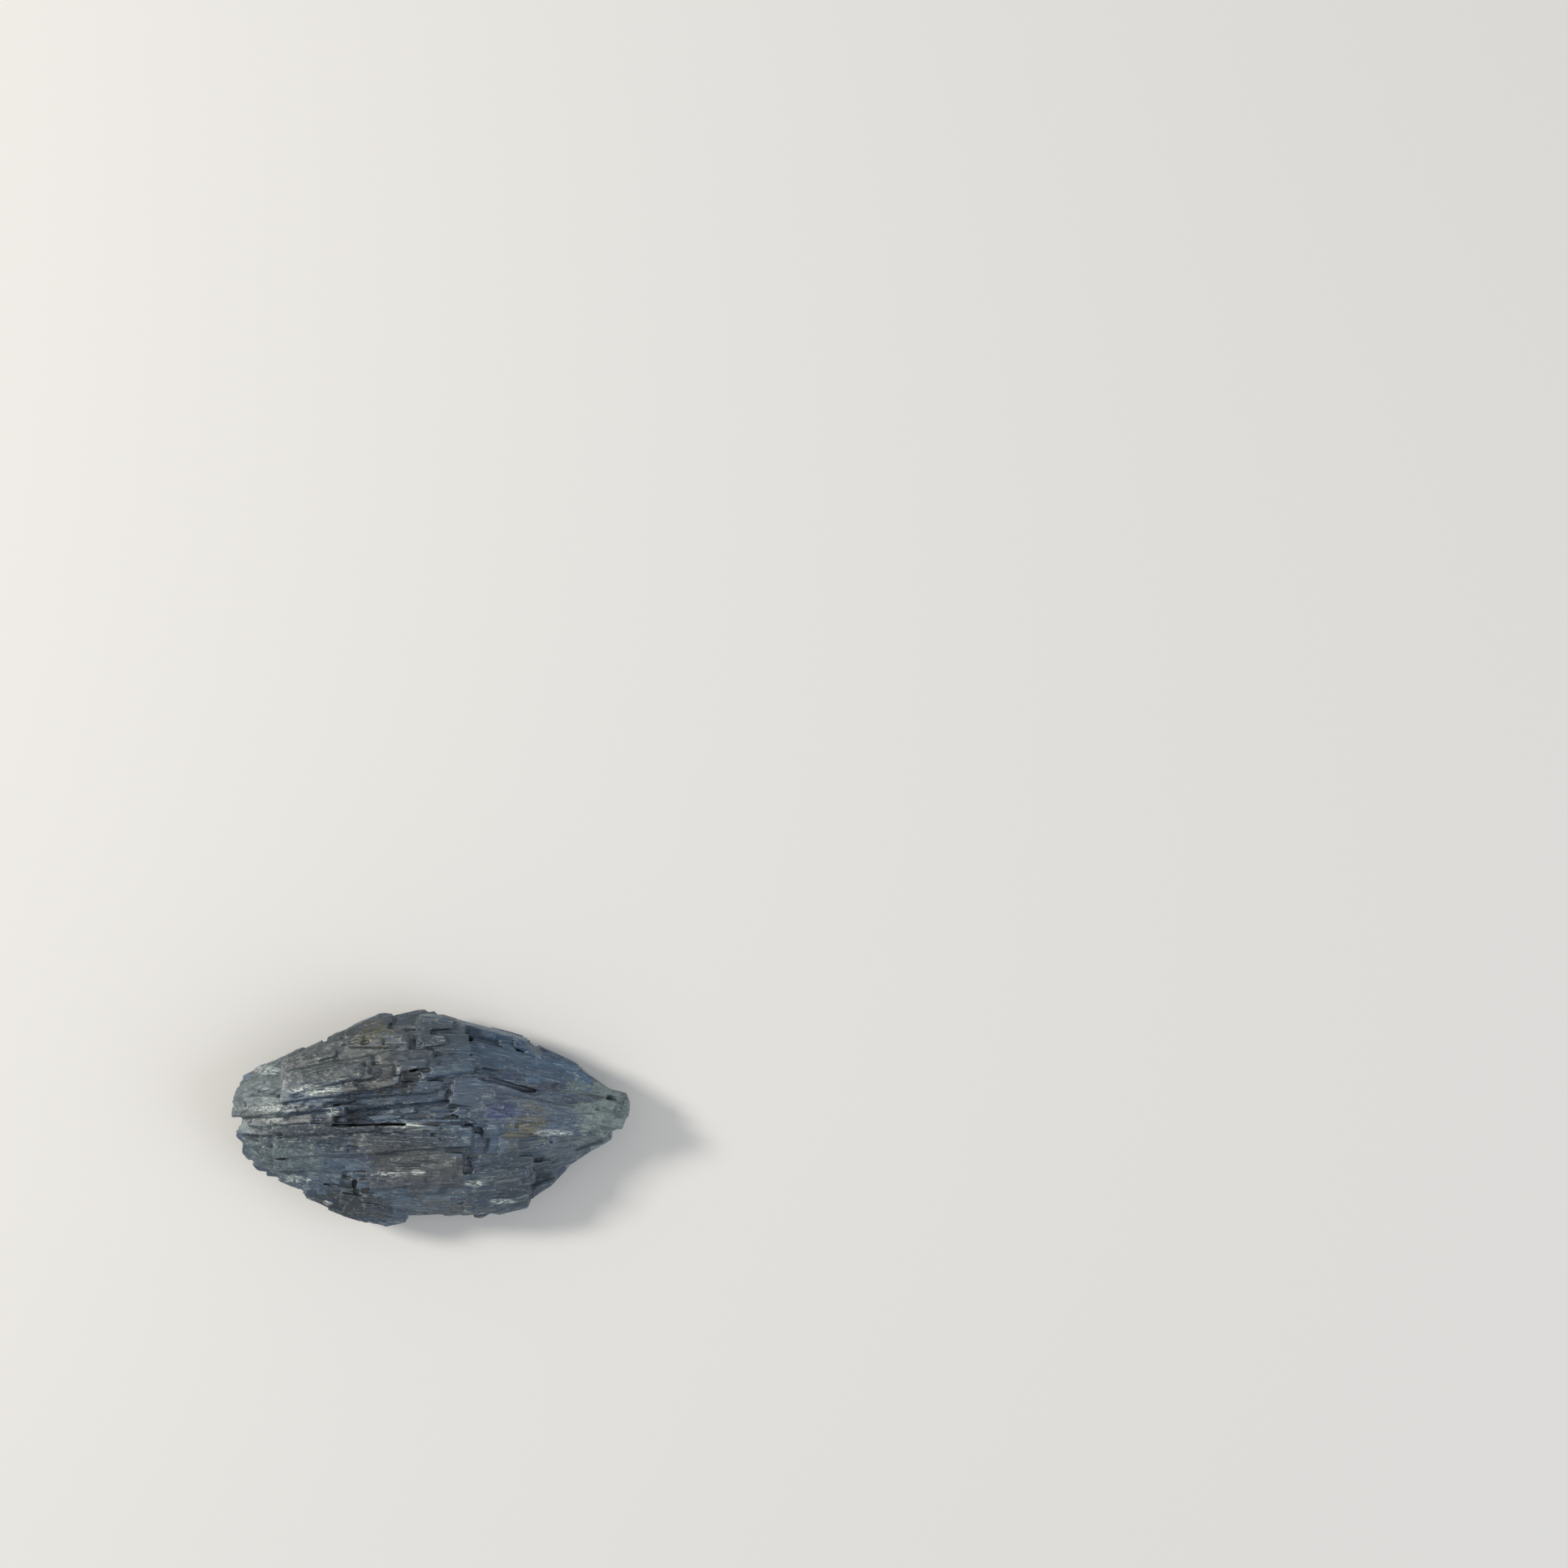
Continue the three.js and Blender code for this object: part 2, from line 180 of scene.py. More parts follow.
# Slivers that still stand in the gaps. A gap is looked for from above at even steps, and is where the
# stone lies deeper than most of what is round it. The ranks pick a height from the ring of looks,
# lowest first. The one hollow in the photograph stays open.
slivers = {
    "from": (-18, -9), "to": (18, 9), "step": (0.4, 0.25),
    "around": 0.9, "looks": 8, "lowRank": 2, "rimRank": 4,
    "deeper": 0.4, "below": (0.25, 0.5), "share": 0.9,
    "long": (1.4, 2.8), "wide": (0.4, 0.8), "behind": (0.3, 0.7), "tall": 1.6, "lean": 0.2,
    "leftOpen": ((-8.4, 1.9), (-1.2, 4.2)),
}
support = {"above": 0.6, "gap": 0.22}  # a flake's corners lie this close to the face under it
calmParts = [  # where less has broken away: the smooth upper facet, and the worn point
    {"from": (2.0, 1.4, 3.0), "to": (18.0, 9.5, 9.4), "kept": 0.3},
    {"from": (12.5, -3.5, 0.0), "to": (20.0, 4.0, 8.0), "kept": 0.35},
]
apart = 0.02  # between the boxes of solids that are joined or cut in one go
mergeWithin = 5e-5
lookFrom = 50  # higher than anything on the stone
crook = {"broad": 6.0, "broadShift": 0.2, "fine": 1.3, "fineShift": 0.05, "longestEdge": 1.5}
# The finest step left, how much of it is smoothed and how often, and the triangles kept
wear = {"grain": 0.112, "softness": 0.5, "rounds": 1, "most": 185000}
# Faces that look the same way at the same level share a tone, as one blade's do: how finely the
# ways and the levels are told apart, and where their steps start
toneSteps = {"ways": 7, "waysFrom": 0.37, "levels": 2.6, "levelsFrom": 0.13}
stoneSeed = 31


def spread(chance, low, high):
    # more small ones than large ones, as in any breakage
    return low * (high / low) ** chance.random()


def flakeOutline(chance, length, width, stepped):
    # its corners from above: a splinter with slanting ends, or a sheet whose ends break in steps
    half = width / 2
    narrow = half * chance.uniform(0.35, 0.9)
    if not stepped:
        slant = chance.uniform(-1, 1) * min(0.3 * length, 1.5 * width)
        return [
            (0, -half * 0.5), (0.35 * length, -half), (length, -narrow * 0.4),
            (length - slant, narrow * 0.4), (0.6 * length, half), (abs(slant) * 0.5, half * 0.5),
        ]
    step = min(0.2 * length, 1.2 * width)
    first, second, third, fourth = [chance.random() * step for _ in range(4)]
    head, tail = chance.uniform(-0.5, 0.5) * narrow, chance.uniform(-0.5, 0.5) * half
    return [
        (length - first, -narrow), (length - first, head), (length - second, head),
        (length - second, narrow), (third, half), (third, tail), (fourth, tail), (fourth, -half),
    ]


def prism(outline, low, high, lean, place):
    # a closed solid: corners at the two levels, and its faces as lists of corner numbers
    count = len(outline)
    corners = [place @ Vector((x, y + lean * z, z)) for z in (low, high) for x, y in outline]
    sides = [(i, (i + 1) % count, (i + 1) % count + count, i + count) for i in range(count)]
    bottom, top = tuple(reversed(range(count))), tuple(range(count, 2 * count))
    return corners, [bottom, top] + sides


def frameAt(origin, along, out):
    across = out.cross(along).normalized()
    along = across.cross(out).normalized()
    return Matrix((
        (along.x, across.x, out.x, origin.x), (along.y, across.y, out.y, origin.y),
        (along.z, across.z, out.z, origin.z), (0, 0, 0, 1),
    ))


class Surface:
    # the stone's faces, for points spread evenly over them and for what lies under a point
    def __init__(self, mesh, chance):
        self.corners = [v.co.copy() for v in mesh.vertices]
        self.faces = [tuple(face.vertices) for face in mesh.polygons]
        self.normals = [face.normal.copy() for face in mesh.polygons]
        areas = np.cumsum([face.area for face in mesh.polygons])
        self.shares = areas / areas[-1]
        self.tree = BVHTree.FromPolygons(self.corners, self.faces)
        self.chance = chance

    def point(self):
        chosen = int(np.searchsorted(self.shares, self.chance.random()))
        a, b, c = [self.corners[i] for i in self.faces[chosen]]
        u, v = self.chance.random(), self.chance.random()
        if u + v > 1:
            u, v = 1 - u, 1 - v
        return a + (b - a) * u + (c - a) * v, self.normals[chosen]

    def carries(self, outline, place):
        # whether every corner of a flake's outline has the stone's face just under or over it
        down = -(place.to_3x3() @ Vector((0, 0, 1)))
        for x, y in outline:
            start = place @ Vector((x, y, support["above"]))
            _, _, _, depth = self.tree.ray_cast(start, down, 2 * support["above"])
            if depth is None or abs(depth - support["above"]) > support["gap"]:
                return False
        return True

    def heightAt(self, x, y):
        hit = self.tree.ray_cast(Vector((x, y, lookFrom)), Vector((0, 0, -1)))[0]
        return hit.z if hit else 0.0

    def heightsRound(self, x, y, away, looks):
        # the stone's heights on a ring round a point, lowest first
        turns = [math.tau * turn / looks for turn in range(looks)]
        return sorted(self.heightAt(x + away * math.cos(turn), y + away * math.sin(turn))
                      for turn in turns)

    def holds(self, point):
        nearest, normal, _, _ = self.tree.find_nearest(point)
        return (nearest - point).dot(normal) > 0


def keptShare(point):
    for part in calmParts:
        if all(l < p < h for l, p, h in zip(part["from"], point, part["to"])):
            return part["kept"]
    return 1.0


def flakeSolids(surface, row, chance):
    # the flakes of one row as (adds, corners, faces), laid along the grain on the blades' sides
    made = []
    for _ in range(flakeLie["tries"] * row["count"]):
        if len(made) == row["count"]:
            break
        point, normal = surface.point()
        along = grainAt(point)
        if abs(along.dot(normal)) > flakeLie["acrossGrain"]:
            continue
        if chance.random() > keptShare(point):
            continue
        length = spread(chance, *row["long"])
        width = min(spread(chance, *row["wide"]), flakeLie["widest"] * length)
        thick = spread(chance, *row["thick"])
        turn = Matrix.Rotation(math.radians(chance.gauss(0, row["askew"])), 3, normal)
        pitch = Matrix.Rotation(math.radians(chance.gauss(0, flakeLie["pitch"])), 4, "Y")
        along = turn @ along
        place = frameAt(point - along * length * 0.5, along, normal) @ pitch
        outline = flakeOutline(chance, length, width, chance.random() < row["stepped"])
        if not surface.carries(outline, place):
            continue
        low, high = (-flakeLie["sunk"], thick) if row["adds"] else (-thick, flakeLie["cutFrom"])
        lean = chance.choice((-flakeLie["lean"], flakeLie["lean"]))
        made.append((row["adds"], *prism(outline, low, high, lean, place)))
    print(row["name"], len(made))
    return made


def sliverSolids(surface, chance):
    made = []
    (left, low), (right, high) = slivers["leftOpen"]
    rows, columns = [np.arange(*ends) for ends in zip(slivers["from"], slivers["to"], slivers["step"])]
    for x, y in ((x, y) for x in rows for y in columns):
        around = surface.heightsRound(x, y, slivers["around"], slivers["looks"])
        lowEnough = surface.heightAt(x, y) <= around[slivers["lowRank"]] - slivers["deeper"]
        if not lowEnough or chance.random() > slivers["share"]:
            continue
        if left < x < right and low < y < high:
            continue
        rim = around[slivers["rimRank"]] - chance.uniform(*slivers["below"])
        along = grainAt(Vector((x, y, rim)))
        length, width = spread(chance, *slivers["long"]), spread(chance, *slivers["wide"])
        start = Vector((x, y, rim)) - along * length * chance.uniform(*slivers["behind"])
        place = frameAt(start, along, Vector((0, 0, 1)))
        outline = flakeOutline(chance, length, width, False)
        lean = chance.choice((-slivers["lean"], slivers["lean"]))
        made.append((True, *prism(outline, -slivers["tall"], 0.0, lean, place)))
    print("slivers", len(made))
    return made


def endSolids(surface, chance):
    # fibre ends where the blades broke straight across: some stand proud, the rest are broken out
    made = []
    for _ in range(brokenEnds["tries"] * brokenEnds["count"]):
        if len(made) == brokenEnds["count"]:
            break
        point, normal = surface.point()
        along = grainAt(point)
        if abs(along.dot(normal)) < brokenEnds["alongGrain"]:
            continue
        outward = along if along.dot(normal) > 0 else -along
        length = spread(chance, *brokenEnds["long"])
        width = spread(chance, *brokenEnds["wide"])
        proud = spread(chance, *brokenEnds["proud"])
        adds = chance.random() < brokenEnds["proudShare"]
        start = point - outward * ((length - proud) if adds else proud)
        tilt = Matrix.Rotation(chance.uniform(0, math.tau), 3, outward)
        side = tilt @ outward.orthogonal().normalized()
        place = frameAt(start, outward, side)
        outline = flakeOutline(chance, length, width, False)
        deep = width * chance.uniform(*brokenEnds["deep"])
        root = point - outward * brokenEnds["rootedIn"]
        edge = place.to_3x3() @ Vector((0, width / 2, 0))
        if not (surface.holds(root + edge) and surface.holds(root - edge)):
            continue
        made.append((adds, *prism(outline, -deep / 2, deep / 2, 0.0, place)))
    print("fibre ends", len(made))
    return made


def batches(solids):
    # groups of solids whose boxes stay clear of each other, so that each group is one clean operand
    groups = []
    for adds, corners, faces in solids:
        points = np.array([tuple(p) for p in corners])
        low, high = points.min(0) - apart, points.max(0) + apart
        for group in groups:
            if group["adds"] != adds:
                continue
            lows, highs = np.array(group["lows"]), np.array(group["highs"])
            if not ((lows < high) & (highs > low)).all(1).any():
                break
        else:
            group = {"adds": adds, "lows": [], "highs": [], "solids": []}
            groups.append(group)
        group["lows"].append(low)
        group["highs"].append(high)
        group["solids"].append((corners, faces))
    return groups


def meshOf(solids):
    corners, faces = [], []
    for points, sides in solids:
        faces += [[i + len(corners) for i in side] for side in sides]
        corners += points
    mesh = bpy.data.meshes.new("flakes")
    mesh.from_pydata([tuple(p) for p in corners], [], faces)
    work = bmesh.new()
    work.from_mesh(mesh)
    bmesh.ops.triangulate(work, faces=work.faces[:])
    bmesh.ops.recalc_face_normals(work, faces=work.faces[:])
    work.to_mesh(mesh)
    work.free()
    return mesh


def applied(stone):
    # gives the stone the mesh that its modifiers make, and takes the modifiers off
    graph = bpy.context.evaluated_depsgraph_get()
    result = bpy.data.meshes.new_from_object(stone.evaluated_get(graph))
    stone.modifiers.clear()
    stone.data = result


def combine(stone, mesh, operation):
    # joins a group of solids to the stone, cuts it with them, or keeps what they share
    other = shaped("operand", mesh)
    step = stone.modifiers.new("step", "BOOLEAN")
    step.operation, step.solver, step.object = operation, "MANIFOLD", other
    applied(stone)
    bpy.data.objects.remove(other)


def triangleCount(mesh):
    return sum(len(p.vertices) - 2 for p in mesh.polygons)


def cadSolid(node):
    # the node's mesh in millimetres, with the corners that its faces share merged
    work = bmesh.new()
    work.from_mesh(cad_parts[node].data)
    bmesh.ops.scale(work, vec=(1 / mm,) * 3, verts=work.verts[:])
    bmesh.ops.remove_doubles(work, verts=work.verts[:], dist=mergeWithin)
    bmesh.ops.triangulate(work, faces=work.faces[:])
    mesh = bpy.data.meshes.new("stone")
    work.to_mesh(mesh)
    print("open edges in the solid:", sum(not e.is_manifold for e in work.edges))
    work.free()
    return mesh


def crooked(stone):
    # splits the longest edges, then bends everything a little, as nothing grown is dead straight
    noise.seed_set(stoneSeed)  # or else the noise starts from the clock, and each run bends otherwise
    work = bmesh.new()
    work.from_mesh(stone.data)
    bmesh.ops.triangulate(work, faces=work.faces[:])
    longEdges = [e for e in work.edges if e.calc_length() > crook["longestEdge"]]
    bmesh.ops.subdivide_edges(work, edges=longEdges, cuts=1)
    bmesh.ops.triangulate(work, faces=work.faces[:])
    for vert in work.verts:
        broad = noise.noise_vector(vert.co / crook["broad"]) * crook["broadShift"]
        fine = noise.noise_vector(vert.co / crook["fine"]) * crook["fineShift"]
        vert.co += broad + fine
    work.to_mesh(stone.data)
    work.free()


def clipped(stone):
    # keeps the stone inside the frame's box, which also cuts its resting face flat
    low, high = [Vector(corner) / mm for corner in cadBox]
    work = bmesh.new()
    bmesh.ops.create_cube(work, size=1.0)
    bmesh.ops.scale(work, vec=high - low, verts=work.verts[:])
    bmesh.ops.translate(work, vec=(high + low) / 2, verts=work.verts[:])
    bmesh.ops.triangulate(work, faces=work.faces[:])
    box = bpy.data.meshes.new("box")
    work.to_mesh(box)
    work.free()
    combine(stone, box, "INTERSECT")


def bladeTones(mesh):
    # for each face, the tone of the blade that it belongs to, and how far it looks along the grain
    steps, tones = toneSteps, []
    for face in mesh.polygons:
        level = face.normal.dot(face.center)
        key = Vector((face.normal.x * steps["ways"] + steps["waysFrom"],
                      face.normal.y * steps["ways"] + steps["waysFrom"],
                      level * steps["levels"] + steps["levelsFrom"]))
        tones.append((noise.cell(key), abs(grainAt(face.center).dot(face.normal))))
    return tones


def worn(stone):
    # edges that handling has taken the sharpness off: an even mesh, smoothed, then thinned again
    even = stone.modifiers.new("even", "REMESH")
    even.mode, even.voxel_size, even.adaptivity = "VOXEL", wear["grain"], 0.0
    soft = stone.modifiers.new("soft", "SMOOTH")
    soft.factor, soft.iterations = wear["softness"], wear["rounds"]
    applied(stone)
    triangles = triangleCount(stone.data)
    thin = stone.modifiers.new("thin", "DECIMATE")
    thin.ratio = min(1.0, wear["most"] / triangles)
    applied(stone)
    print("triangles when even:", triangles, "faces when thinned:", len(stone.data.polygons))


def bodiesOf(work):
    # the separate bodies as lists of their corners, largest first
    unseen, bodies = set(work.verts), []
    for seed in work.verts:
        if seed not in unseen:
            continue
        unseen.discard(seed)
        body, edge = [seed], [seed]
        while edge:
            near = {e.other_vert(v) for v in edge for e in v.link_edges} & unseen
            unseen -= near
            edge = list(near)
            body += edge
        bodies.append(body)
    return sorted(bodies, key=len, reverse=True)


def finished(stone, sharp, tones):
    # the largest body in metres; each face takes its tones from the nearest face of the sharp stone
    work = bmesh.new()
    work.from_mesh(stone.data)
    bmesh.ops.triangulate(work, faces=work.faces[:])
    bodies = bodiesOf(work)
    loose = [vert for body in bodies[1:] for vert in body]
    bmesh.ops.delete(work, geom=loose, context="VERTS")
    tone = work.faces.layers.float.new("bladeTone")
    broken = work.faces.layers.float.new("brokenEnd")
    for face in work.faces:
        nearest = sharp.find_nearest(face.calc_center_median())[2]
        face[tone], face[broken] = tones[nearest]
        face.smooth = True
    bmesh.ops.scale(work, vec=(mm,) * 3, verts=work.verts[:])
    work.to_mesh(stone.data)
    print("bodies:", len(bodies), "triangles:", len(work.faces))
    work.free()


def kyaniteBlades():
    chance = random.Random(stoneSeed)
    stone = shaped("kyanite_blades", cadSolid("kyanite_cluster"))
    surface = Surface(stone.data, chance)
    solids = sliverSolids(surface, chance)
    solids += [solid for row in flakes for solid in flakeSolids(surface, row, chance)]
    solids += endSolids(surface, chance)
    for group in batches(solids):
        combine(stone, meshOf(group["solids"]), "UNION" if group["adds"] else "DIFFERENCE")
    print("triangles after the flakes:", triangleCount(stone.data))
    crooked(stone)
    clipped(stone)
    sharp = BVHTree.FromPolygons([v.co for v in stone.data.vertices],
                                 [tuple(p.vertices) for p in stone.data.polygons])
    tones = bladeTones(stone.data)
    worn(stone)
    finished(stone, sharp, tones)
    return stone


# Kyanite as it grows: glassy blades that cleave along their length. Most of it is a greyed steel
# blue, with the colour laid in streaks along each blade. A cleavage face shines, a broken end is
# dull and paler, and feathered cracks lay pale streaks in it. Painted light is added on top: edges
# are painted pale as a painted highlight, white glints are painted along some blades as painted
# highlights, and the gaps between blades are painted dark as painted shade. A value of three numbers
# under "shares" is where a colour starts, where it is full, and how much it then covers.
cleavedKyanite = {
    "blue": "#4d6276", "deepBlue": "#23334f", "milkyAndEdgeHighlight": "#9ea8a6", "brokenPale": "#666e6b",
    # a painted highlight colour, then a painted shade colour for the gaps between blades
    "ledge": "#d0dad5", "paintedShade": "#171c1f",
    "ior": 1.72, "glossy": 0.4, "lessGlossy": 0.16, "dull": 0.6, "glossStreaks": (0.3, 0.7),
    "seenInto": 0.12, "seenIntoDepth": 1.0,  # how much light enters the stone, and how far
    "seenIntoColour": (0.7, 0.85, 1.0),
    "streak": (9.0, 0.8), "fibre": (4.0, 0.2),  # length and width of the colour's streaks
    "striation": (7.0, 0.16), "striationDepth": 0.02,  # coarser than real, so that it shows
    "parting": (1.2, 0.5), "partingDepth": 0.012, "partingStep": (0.5, 0.56),
    "edgeRound": 0.05, "paintedShadeReach": 1.2,
    "bladeShift": 37.0,  # how far apart along the streaks two blades take their colour
    "girthLost": 0.6,  # at the ends of the spindle
    "tones": (0.7, 1.15),  # of the darkest and the palest blade
    "brokenEnd": (0.45, 0.75),  # how far a face looks along the grain where it starts and is full
    "shares": {
        "deepStreaks": (0.48, 0.68, 0.65), "milkyStreaks": (0.44, 0.3, 0.3),
        "milkyFibres": (0.55, 0.68, 0.45), "deepFibres": (0.46, 0.32, 0.6),
        # then the shares of the painted highlights, the painted pale edges and the painted shade in gaps
        "ledgeFibres": (0.42, 0.6, 1.0), "paintedEdgeHighlight": (0.985, 0.85, 0.4),
        "paintedShadeCrevices": (0.62, 0.22, 0.85),
    },
    "ledgeShare": 0.9, "brokenShare": 0.3,
}
# How ragged the zones are: the noise, how far it moves a broad or a narrow zone's edge, how far a
# blade moves it sideways, how soft the edge is, and the reach under which a zone counts as narrow
raggedness = {
    "scale": 0.55, "detail": 3.0, "broad": (5.0, 2.2, 2.2), "narrow": (0.8, 0.4, 0.4),
    "sideways": 1.4, "zoneEdge": 0.4, "ledgeEdge": 0.6, "narrowUnder": 0.9,
}
# Where the colour changes: the middle and reach of each zone, and how strongly it covers
colourZones = [
    {"at": (-8.8, 5.7, 8), "reach": (7.6, 2.9, 5), "colour": "#363c33", "share": 0.82},  # big slab
    {"at": (-7.5, 8.9, 6), "reach": (6.0, 2.2, 4), "colour": "#31373d", "share": 0.6},
    {"at": (0.4, 7.6, 8), "reach": (3.8, 3.0, 4), "colour": "#303638", "share": 0.7},
    {"at": (10.2, 4.8, 6), "reach": (8.2, 3.2, 5), "colour": "#3d5c76", "share": 0.85},  # blue facet
    {"at": (8.4, 1.9, 8), "reach": (8.0, 1.7, 4), "colour": "#4b586a", "share": 0.7},
    {"at": (-7.4, -1.6, 8), "reach": (11.5, 2.0, 4), "colour": "#1a2228", "share": 0.82},
    {"at": (-14.0, -3.9, 5), "reach": (4.8, 2.8, 4), "colour": "#5a6a6c", "share": 0.75},
    {"at": (-1.2, -4.9, 8), "reach": (5.6, 2.2, 4), "colour": "#4e4c48", "share": 0.8},
    {"at": (-7.4, -9.1, 4), "reach": (4.0, 2.4, 4), "colour": "#1a2323", "share": 0.88},
    {"at": (7.6, -6.5, 5), "reach": (4.4, 3.6, 5), "colour": "#34424b", "share": 0.75},
    {"at": (1.4, -9.0, 4), "reach": (4.2, 1.5, 3), "colour": "#605e50", "share": 0.6},
    {"at": (-16.4, 1.6, 6), "reach": (3.6, 3.4, 4), "colour": "#748079", "share": 0.6},
    {"at": (16.6, 0.2, 4), "reach": (4.2, 3.4, 4), "colour": "#84968f", "share": 0.8},  # the point
    # painted highlight: the thin lower rim towards the point painted pale
    {"at": (13.6, -3.9, 3), "reach": (4.2, 1.0, 5), "colour": "#7b8886", "share": 0.5},
    {"at": (9.0, -1.1, 7), "reach": (2.5, 1.5, 3), "colour": "#6b6850", "share": 0.85},  # iron stain
    {"at": (-5.4, 8.1, 7), "reach": (1.8, 1.3, 3), "colour": "#5a5738", "share": 0.85},  # iron stain
    {"at": (7.1, 1.0, 9), "reach": (1.5, 0.8, 3), "colour": "#26376a", "share": 0.75},  # deep blue
    # painted shade: the groove painted dark along its valley, in three pieces
    {"at": (7.4, 4.1, 8), "reach": (2.4, 0.5, 2.5), "colour": "#26344c", "share": 0.75},  # groove
    {"at": (10.8, 3.1, 7), "reach": (2.4, 0.5, 2.5), "colour": "#26344c", "share": 0.75},  # groove
    {"at": (14.2, 2.0, 6), "reach": (2.2, 0.45, 2.5), "colour": "#2a3a4e", "share": 0.7},  # groove
    # painted shade: the hollow painted near black
    {"at": (-4.4, 2.9, 9), "reach": (4.5, 1.45, 2.5), "colour": "#0d1011", "share": 0.95},  # hollow
]
# Painted highlights: white glints painted into the colour along the edges of some blades, where cleavage
# faces throw the light back
paintedHighlights = [
    {"at": (-11.0, 3.0, 9), "reach": (2.4, 0.5, 2)}, {"at": (-15.2, 1.25, 8), "reach": (3.4, 0.4, 2)},
    {"at": (-15.2, 0.05, 8), "reach": (1.3, 0.4, 2)}, {"at": (-9.2, 0.95, 9), "reach": (0.7, 0.4, 2)},
    {"at": (-3.6, -5.1, 8), "reach": (1.5, 0.25, 2)}, {"at": (4.2, -6.1, 7), "reach": (0.9, 0.32, 1.2)},
    {"at": (7.0, -8.0, 5), "reach": (1.3, 0.25, 2)}, {"at": (-16.6, 4.8, 6), "reach": (2.0, 0.45, 2)},
    {"at": (-2.0, -0.3, 9), "reach": (1.6, 0.3, 2)}, {"at": (12.0, -1.2, 7), "reach": (2.0, 0.3, 2)},
    {"at": (-13.4, -5.9, 4.5), "reach": (2.2, 0.35, 2.5)}, {"at": (-1.0, -4.9, 8), "reach": (0.7, 0.3, 2)},
    {"at": (-10.0, -8.2, 4), "reach": (0.5, 0.3, 2)},
]
raySamples = {"edges": 6, "paintedShadeCrevices": 8}


def addNode(tree, kind, inputs, **settings):
    # one node with its settings; each input takes another node's output or a plain value
    made = tree.nodes.new("ShaderNode" + kind)
    for name, value in settings.items():
        setattr(made, name, value)
    for socket, source in inputs.items():
        if isinstance(source, bpy.types.NodeSocket):
            tree.links.new(source, made.inputs[socket])
        else:
            made.inputs[socket].default_value = source
    return next(output for output in made.outputs if output.enabled)


def reckoned(tree, operation, *values):
    return addNode(tree, "Math", dict(enumerate(values)), operation=operation)


def moved(tree, operation, *vectors):
    return addNode(tree, "VectorMath", dict(enumerate(vectors)), operation=operation)


def scaledBy(tree, vector, amount):
    return addNode(tree, "VectorMath", {0: vector, "Scale": amount}, operation="SCALE")


def streaks(tree, along, size, detail):
    # noise drawn out along the blades; size is its length and width in millimetres
    length, width = size
    scaled = moved(tree, "MULTIPLY", along, (1 / length, 1 / width, 1 / width))
    return addNode(tree, "TexNoise", {"Vector": scaled, "Scale": 1.0, "Detail": detail,
                                      "Roughness": 0.6})


def stepped(tree, value, low, high, top=1.0):
    # 0 below low, rising smoothly to top at high
    return addNode(tree, "MapRange", {"Value": value, "From Min": low, "From Max": high,
                                      "To Max": top}, interpolation_type="SMOOTHSTEP")


def inZone(tree, place, zone, edge):
    away = moved(tree, "SUBTRACT", place, zone["at"])
    away = moved(tree, "DIVIDE", away, zone["reach"])
    away = moved(tree, "DOT_PRODUCT", away, away)
    return stepped(tree, away, 1 + edge, 1 - edge, zone.get("share", 1.0))


def mixed(tree, share, base, colour):
    return addNode(tree, "Mix", {0: share, 6: base, 7: colour}, data_type="RGBA")


def alongBlades(tree, place, blade):
    # the bundle's own coordinates, in which its spindle shape is drawn out to a straight rod
    x = addNode(tree, "SeparateXYZ", {0: place})
    y, z = x.node.outputs["Y"], x.node.outputs["Z"]
    squared = reckoned(tree, "MULTIPLY", x, x)
    loss = -cleavedKyanite["girthLost"] / grain["halfLength"] ** 2
    girth = reckoned(tree, "MULTIPLY_ADD", squared, loss, 1.0)
    shift = reckoned(tree, "MULTIPLY_ADD", blade, cleavedKyanite["bladeShift"], x)
    across = reckoned(tree, "DIVIDE", y, girth)
    upward = reckoned(tree, "DIVIDE", z, girth)
    return addNode(tree, "CombineXYZ", {0: shift, 1: across, 2: upward})


def raggedPlaces(tree, place, blade):
    # where a point counts as lying, for broad zones with ragged edges and for narrow ones
    wander = addNode(tree, "TexNoise", {"Vector": place, "Scale": raggedness["scale"],
                                        "Detail": raggedness["detail"]}).node.outputs["Color"]
    wander = moved(tree, "SUBTRACT", wander, (0.5, 0.5, 0.5))
    broad = moved(tree, "MULTIPLY_ADD", wander, raggedness["broad"], place)
    sideways = raggedness["sideways"]
    bladeShift = reckoned(tree, "MULTIPLY_ADD", blade, sideways, -sideways / 2)
    bladeShift = addNode(tree, "CombineXYZ", {0: 0.0, 1: bladeShift, 2: 0.0})
    broad = moved(tree, "ADD", broad, bladeShift)
    return broad, moved(tree, "MULTIPLY_ADD", wander, raggedness["narrow"], place)


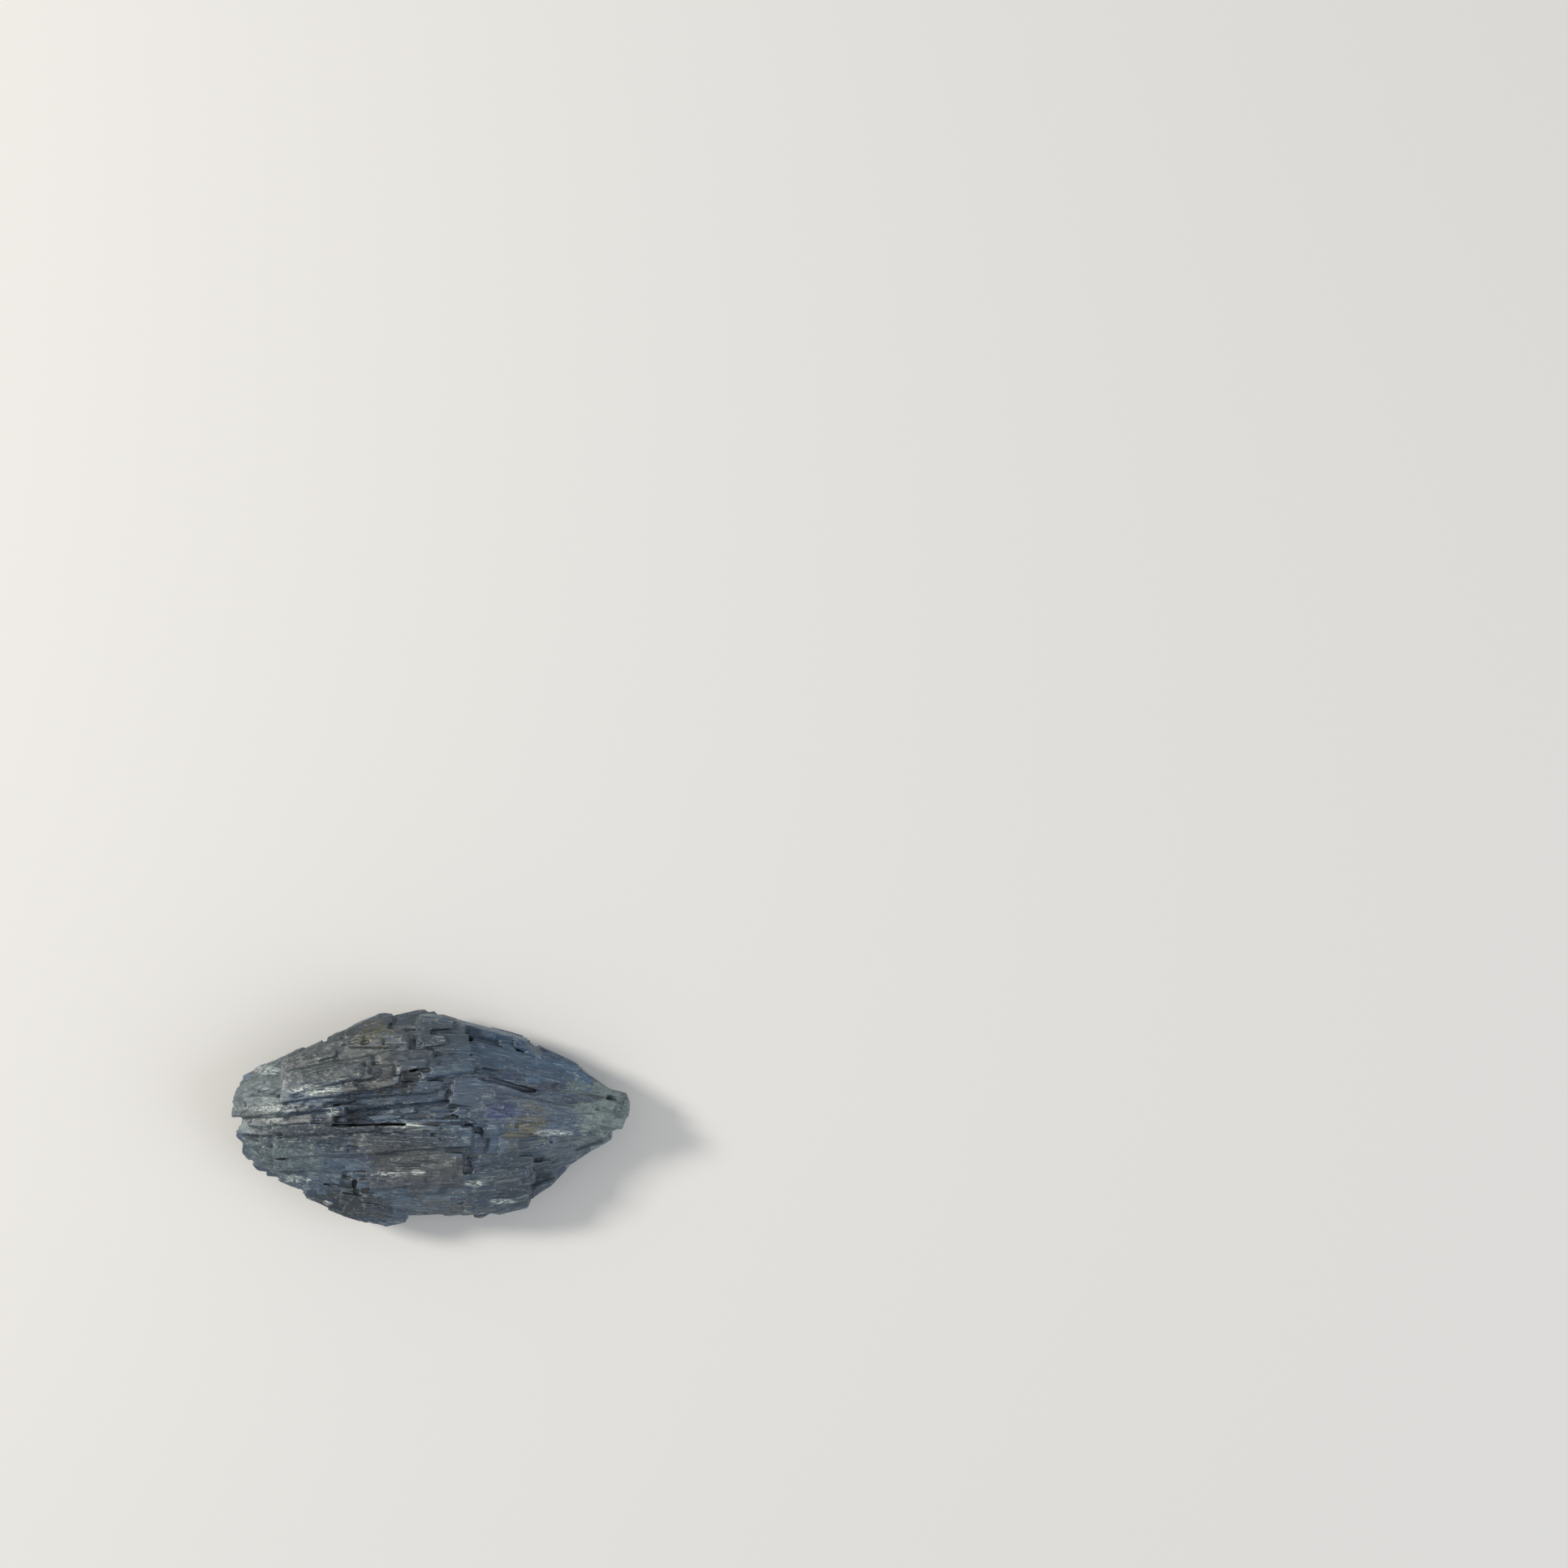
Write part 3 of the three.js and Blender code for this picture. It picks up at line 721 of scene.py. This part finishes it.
def kyaniteColour(tree, place, blade, broken, streak, fibre):
    look, shares = cleavedKyanite, cleavedKyanite["shares"]
    broad, narrow = raggedPlaces(tree, place, blade)
    colour = hexColour(look["blue"])
    for zone in colourZones:
        where = narrow if min(zone["reach"]) < raggedness["narrowUnder"] else broad
        share = inZone(tree, where, zone, raggedness["zoneEdge"])
        colour = mixed(tree, share, colour, hexColour(zone["colour"]))
    for source, name, paint in ((streak, "deepStreaks", "deepBlue"), (streak, "milkyStreaks", "milkyAndEdgeHighlight"),
                                (fibre, "milkyFibres", "milkyAndEdgeHighlight"), (fibre, "deepFibres", "deepBlue")):
        colour = mixed(tree, stepped(tree, source, *shares[name]), colour, hexColour(look[paint]))
    # painted highlights: white glints painted along the edges of some blades
    ledge = 0.0
    for row in paintedHighlights:
        ledge = reckoned(tree, "MAXIMUM", ledge, inZone(tree, narrow, row, raggedness["ledgeEdge"]))
    ledge = reckoned(tree, "MULTIPLY", ledge, stepped(tree, fibre, *shares["ledgeFibres"]))
    ledge = reckoned(tree, "MULTIPLY", ledge, look["ledgeShare"])
    colour = mixed(tree, ledge, colour, hexColour(look["ledge"]))
    brokenShare = reckoned(tree, "MULTIPLY", broken, look["brokenShare"])
    colour = mixed(tree, brokenShare, colour, hexColour(look["brokenPale"]))

    # painted light: every edge is painted pale as a painted highlight, for thin edges that let light
    # through, and the gaps between blades are painted dark as painted shade
    rounded = addNode(tree, "Bevel", {"Radius": look["edgeRound"] * 2 * mm}, samples=raySamples["edges"])
    facing = addNode(tree, "NewGeometry", {}).node.outputs["Normal"]
    bend = moved(tree, "DOT_PRODUCT", rounded, facing).node.outputs["Value"]
    colour = mixed(tree, stepped(tree, bend, *shares["paintedEdgeHighlight"]), colour, hexColour(look["milkyAndEdgeHighlight"]))
    darkest, palest = look["tones"]
    tone = addNode(tree, "MapRange", {"Value": blade, "To Min": darkest, "To Max": palest})
    colour = scaledBy(tree, colour, tone)
    # painted shade: the colour turns dark where few rays get out, in the gaps between blades
    shadeOpenness = addNode(tree, "AmbientOcclusion", {"Distance": look["paintedShadeReach"] * mm},
                       samples=raySamples["paintedShadeCrevices"]).node.outputs["AO"]
    return mixed(tree, stepped(tree, shadeOpenness, *shares["paintedShadeCrevices"]), colour, hexColour(look["paintedShade"]))


def kyaniteGloss(tree, broken, streak):
    # cleavage faces shine, broken ends don't
    look = cleavedKyanite
    low, high = look["glossStreaks"]
    rough = addNode(tree, "MapRange", {"Value": streak, "From Min": low, "From Max": high,
                                       "To Min": look["glossy"],
                                       "To Max": look["glossy"] + look["lessGlossy"]})
    return addNode(tree, "Mix", {0: broken, 2: rough, 3: look["dull"]}, data_type="FLOAT")


def kyaniteRelief(tree, along):
    # relief finer than the mesh: striations along the blades, and partings across them
    look = cleavedKyanite
    striation = streaks(tree, along, look["striation"], 2.0)
    parting = stepped(tree, streaks(tree, along, look["parting"], 1.0), *look["partingStep"])
    normal = addNode(tree, "Bevel", {"Radius": look["edgeRound"] * mm}, samples=raySamples["edges"])
    for height, depth in ((striation, look["striationDepth"]), (parting, look["partingDepth"])):
        normal = addNode(tree, "Bump", {"Height": height, "Normal": normal, "Strength": 1.0,
                                        "Distance": depth * mm})
    return normal


def kyaniteMaterial():
    look = cleavedKyanite
    material = bpy.data.materials.new("cleaved kyanite")
    material.use_nodes = True
    tree = material.node_tree
    shader = tree.nodes["Principled BSDF"]
    place = scaledBy(tree, addNode(tree, "TexCoord", {}).node.outputs["Object"], 1 / mm)
    blade = addNode(tree, "Attribute", {}, attribute_name="bladeTone").node.outputs["Fac"]
    broken = addNode(tree, "Attribute", {}, attribute_name="brokenEnd").node.outputs["Fac"]
    broken = stepped(tree, broken, *look["brokenEnd"])
    along = alongBlades(tree, place, blade)
    streak = streaks(tree, along, look["streak"], 3.0)
    fibre = streaks(tree, along, look["fibre"], 2.0)
    colour = kyaniteColour(tree, place, blade, broken, streak, fibre)
    tree.links.new(colour, shader.inputs["Base Color"])
    tree.links.new(kyaniteGloss(tree, broken, streak), shader.inputs["Roughness"])
    tree.links.new(kyaniteRelief(tree, along), shader.inputs["Normal"])
    shader.inputs["IOR"].default_value = look["ior"]
    shader.inputs["Subsurface Weight"].default_value = look["seenInto"]
    shader.inputs["Subsurface Radius"].default_value = look["seenIntoColour"]
    shader.inputs["Subsurface Scale"].default_value = look["seenIntoDepth"] * mm
    print("material:", len(tree.nodes), "nodes")
    return material


addStudio()
stone = kyaniteBlades()
stone.data.materials.clear()
stone.data.materials.append(kyaniteMaterial())
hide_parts("kyanite_cluster")
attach(stone, "root")
